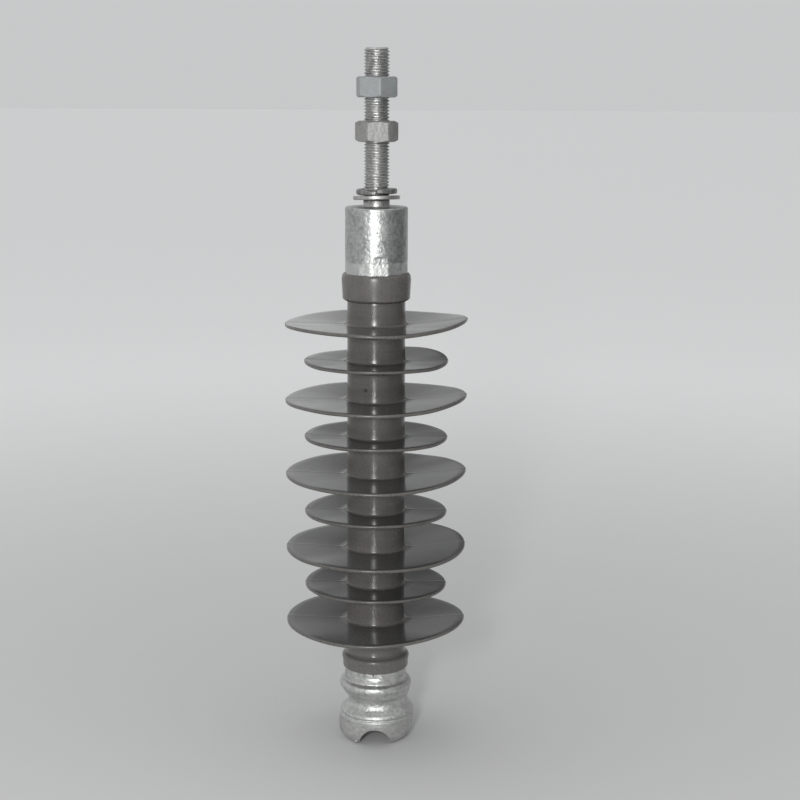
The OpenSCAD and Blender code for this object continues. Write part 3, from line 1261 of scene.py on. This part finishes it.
@dataclass(frozen=True)
class FlatWasher:
    """The punched flat washer, hanging a little askew on the shank."""

    hole_radius: float = 10.45
    rolled_edge: float = 0.7
    front_lift: float = 3.4
    right_lift: float = 1.2

    def build(self) -> None:
        """Makes the washer."""
        span = Span.of("flat_washer")
        e, hole = self.rolled_edge, self.hole_radius
        mesh = lathe([
            (hole, span.low + 0.2), (hole + 0.2, span.low),
            *arc(span.radius - e, span.low + e, e, -90, 0, 3),
            *arc(span.radius - 0.3, span.high - 0.3, 0.3, 0, 90, 2),
            *arc(hole + e, span.high - e, e, 90, 180, 3),
        ], 96, ring=True)
        reshape(mesh, lambda p: p + Vector((0, 0, lumps(p, 7.0, 0.12))))
        lean = Matrix.Rotation(math.radians(-self.front_lift), 3, "X")
        lean @= Matrix.Rotation(math.radians(-self.right_lift), 3, "Y")
        bmesh.ops.rotate(mesh, cent=(0, 0, (span.low + span.high) / 2), matrix=lean, verts=mesh.verts)
        Piece("flat_washer_ring", "flat_washer", "flat_washer", "plated_steel").make(mesh, Finish.WASHER)


@dataclass(frozen=True)
class SpringWasher:
    """The split spring washer: square wire bent to one turn of a helix with slanting cut ends."""

    wire: float = 4.0
    hole_radius: float = 10.4
    split: float = 3.5
    slant: float = 0.1
    rounding: float = 1.2
    rise: float = 1.5
    lift: float = 0.6
    wear: float = 0.35
    steps: int = 90

    def build(self) -> None:
        """Makes the washer."""
        span = Span.of("spring_washer")
        start = math.radians(-90 + self.split / 2)
        sweep = math.tau - math.radians(self.split)
        inner, outer, e = self.hole_radius, span.radius - self.wear, self.rounding
        low = span.low + self.lift + self.rise
        section = [
            *arc(outer - e, low + e, e, -90, 0, 3), *arc(outer - e, low + self.wire - e, e, 0, 90, 3),
            *arc(inner + e, low + self.wire - e, e, 90, 180, 2), *arc(inner + e, low + e, e, 180, 270, 2),
        ]
        mesh = bmesh.new()
        face = mesh.faces.new([mesh.verts.new(at(r, start, z)) for r, z in section])
        bmesh.ops.spin(
            mesh, geom=[face], cent=(0, 0, 0), axis=(0, 0, 1), dvec=(0, 0, -self.rise / self.steps),
            angle=sweep, steps=self.steps,
        )
        bmesh.ops.remove_doubles(mesh, verts=mesh.verts, dist=1e-4)
        middle = low + self.wire / 2

        def slanted(point: Vector) -> Vector:
            """Slants the cut ends and lays on the zinc's unevenness.

            Args:
                point: a point of the bent wire.

            Returns:
                Where it ends up.
            """
            radius, angle = polar(point)
            near_split = lobe(turned(angle, -math.pi / 2), 0.5)
            shift = near_split * self.slant * (point.z - middle + self.rise / 2) / self.wire
            return at(radius + lumps(point, 2.5, 0.12), angle + shift, point.z + lumps(point, 3.5, 0.12))

        reshape(mesh, slanted)
        bmesh.ops.recalc_face_normals(mesh, faces=mesh.faces)
        Piece("split_spring_washer", "spring_washer", "spring_washer", "spring_steel").make(mesh, Finish.SPRING)


@dataclass(frozen=True)
class HexNut:
    """An M20 hexagon nut with chamfered corners and countersunk thread."""

    node: str
    piece: str
    slot: str
    finish: Finish
    turn: float
    flats: float = 30.0
    cap_radius: float = 14.3
    bore_radius: float = 10.06
    sink: float = 0.9
    corner_wear: float = 0.45
    unevenness: float = 0.05
    blank_radius: float = 16.0
    chamfer_angle: float = 30.0
    rows: tuple[float, ...] = (0.0, 0.12, 0.3, 0.5, 0.75, 1.0, 1.3, 1.65, 2.1, 3.0, 5.0)

    def build(self) -> None:
        """Makes the nut."""
        span = Span.of(self.node)
        low, high, bore = span.low, span.high, self.bore_radius
        wall = [low + row for row in self.rows] + [high - row for row in reversed(self.rows)]
        mesh = lathe([
            (bore, high - self.sink), (bore, low + self.sink), (bore + self.sink, low),
            *((self.blank_radius, z) for z in wall), (bore + self.sink, high),
        ], 144, ring=True)
        corner = self.flats / 2 / math.cos(math.pi / 6) - self.corner_wear

        def hexagonal(point: Vector) -> Vector:
            """Cuts the flats, the worn corners and the chamfer.

            Args:
                point: a point of the round blank.

            Returns:
                Where it ends up.
            """
            radius, angle = polar(point)
            if radius < self.blank_radius - 1:
                return point
            off_middle = (angle % (math.pi / 3)) - math.pi / 6
            flat = self.flats / 2 / math.cos(off_middle)
            cone = self.cap_radius + min(point.z - low, high - point.z) / math.tan(math.radians(self.chamfer_angle))
            uneven = lumps(point, 3.0, self.unevenness)
            return at(min(flat, corner, cone) + uneven, angle, point.z)

        reshape(mesh, hexagonal)
        turn = Matrix.Rotation(math.radians(self.turn), 3, "Z")
        bmesh.ops.rotate(mesh, cent=(0, 0, 0), matrix=turn, verts=mesh.verts)
        Piece(self.piece, self.node, self.node, self.slot, sharp_angle=18.0).make(mesh, self.finish)


# ---------------------------------------------------------------- hidden pieces and stage


@dataclass(frozen=True)
class HiddenPieces:
    """The rod and the seals, whose CAD shapes are shown as they are."""

    finishes: tuple[tuple[str, Finish], ...] = (
        ("core_rod", Finish.ROD),
        ("base_seal", Finish.SEALANT),
        ("top_seal", Finish.SEALANT),
    )

    def dress(self) -> None:
        """Gives each carried-over CAD node its material."""
        for node, finish in self.finishes:
            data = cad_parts[node].data
            data.materials.clear()
            data.materials.append(made_of(finish))
            LOG.info("%s: CAD shape kept, dressed as %s", node, finish.name.lower())


@dataclass(frozen=True)
class SoftLight:
    """A rectangular lamp aimed at a point, in metres and watts."""

    name: str
    place: tuple[float, float, float]
    aim: tuple[float, float, float]
    width: float
    height: float
    power: float

    def build(self) -> None:
        """Makes the lamp."""
        data = bpy.data.lights.new(self.name, "AREA")
        data.shape = "RECTANGLE"
        data.size, data.size_y, data.energy = self.width, self.height, self.power
        lamp = bpy.data.objects.new(self.name, data)
        lamp.location = self.place
        lamp.rotation_euler = (Vector(self.aim) - Vector(self.place)).to_track_quat("-Z", "Y").to_euler()
        bpy.context.scene.collection.objects.link(lamp)


@dataclass(frozen=True)
class Studio:
    """The pale floor, the soft lights, the pale surroundings and the camera."""

    floor_size: float = 60.0
    camera_distance: float = 1.303
    camera_right: float = 0.0192
    camera_above_seat: float = 0.0973
    pitch_down: float = 10.945
    roll: float = 0.287
    lens: float = 74.3
    horizon: float = 0.585
    zenith: float = 0.8
    glow: float = 0.27
    dip: float = 0.26
    behind_right_shade: float = 0.36
    right_shade: float = 0.68
    front_shade: float = 0.2
    light_colour: tuple[float, float, float, float] = (0.985, 0.992, 1.0, 1.0)
    lamps: tuple[SoftLight, ...] = (
        SoftLight("flash", (-0.17, -1.45, 0.2), (0, 0, -0.15), width=0.10, height=0.14, power=7.0),
        SoftLight("key", (-0.19, -1.55, -0.07), (0, 0, -0.15), width=0.14, height=1.3, power=8.6),
        SoftLight("above", (-0.3, 0.2, 1.5), (0, 0, -0.2), width=1.4, height=1.4, power=3.0),
    )

    def floor(self) -> None:
        """Makes the floor that the tie top stands on."""
        mesh = bmesh.new()
        bmesh.ops.create_grid(mesh, x_segments=2, y_segments=2, size=self.floor_size / 2)
        bmesh.ops.translate(mesh, vec=(0, 0, Span.of("tie_top_fitting").low * MM), verts=mesh.verts)
        board = as_object(mesh, "floor_board")
        board.data.materials.append(FloorFinish().material())

    def surroundings(self) -> None:
        """Makes the pale room: brightest overhead, dimmer in front and behind on the right, dark on the right."""
        world = bpy.data.worlds.new("room")
        bpy.context.scene.world = world
        g = Graph(world, "Generated")
        low = g.z.step(0.08, 0.4)
        high = g.z.step(0.4, 0.85)
        level = self.horizon + self.glow * g.z.step(0.04, 0.1) - self.dip * low
        level = level + high * (self.zenith - self.horizon - self.glow + self.dip)
        behind_right = g.x.step(-0.06, 0.0) * g.z.step(0.05, 0.12) * (1 - high) * g.y.step(0.0, 0.4)
        shade = (g.x * 0.96 - g.y * 0.28).step(0.3, 0.95) * g.z.step(0.6, 0.2)
        front = (g.y * -1).step(0.45, 0.95) * g.z.step(0.6, 0.2)
        level = level * (1 - behind_right * (self.behind_right_shade + 0.25 * low))
        level = level * (1 - shade * self.right_shade) * (1 - front * self.front_shade)
        light = g.node("ShaderNodeBackground", {}, {"Color": self.light_colour, "Strength": level})
        g.node("ShaderNodeOutputWorld", {}, {"Surface": light.outputs[0]})

    def camera(self) -> None:
        """Makes the camera, a little above the seat and looking slightly down."""
        data = bpy.data.cameras.new("camera")
        data.lens = self.lens
        made = bpy.data.objects.new("camera", data)
        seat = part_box("base_fitting")[1].z
        made.location = (self.camera_right, -self.camera_distance, seat + self.camera_above_seat)
        tilt = Matrix.Rotation(math.radians(90 - self.pitch_down), 3, "X")
        made.rotation_euler = (tilt @ Matrix.Rotation(math.radians(self.roll), 3, "Z")).to_euler()
        bpy.context.scene.collection.objects.link(made)
        bpy.context.scene.camera = made

    def build(self) -> None:
        """Makes everything that is not the object."""
        self.camera()
        self.floor()
        self.surroundings()
        for lamp in self.lamps:
            lamp.build()
        bpy.context.scene.view_settings.view_transform = "Standard"


def main() -> None:
    """Builds the studio and every piece in order."""
    logging.basicConfig(level=logging.INFO, format="%(message)s")
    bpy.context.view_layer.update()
    Studio().build()
    Housing().build()
    BaseFitting().build()
    TieTop().build()
    MountingStud().build()
    FlatWasher().build()
    SpringWasher().build()
    HexNut("lower_nut", "lower_hex_nut", "plated_steel", Finish.BRIGHT_NUT, 5.0).build()
    HexNut("upper_nut", "upper_hex_nut", "zinc_nut_steel", Finish.DULL_NUT, 39.4, unevenness=0.02).build()
    HiddenPieces().dress()


if __name__ == "__main__":
    main()
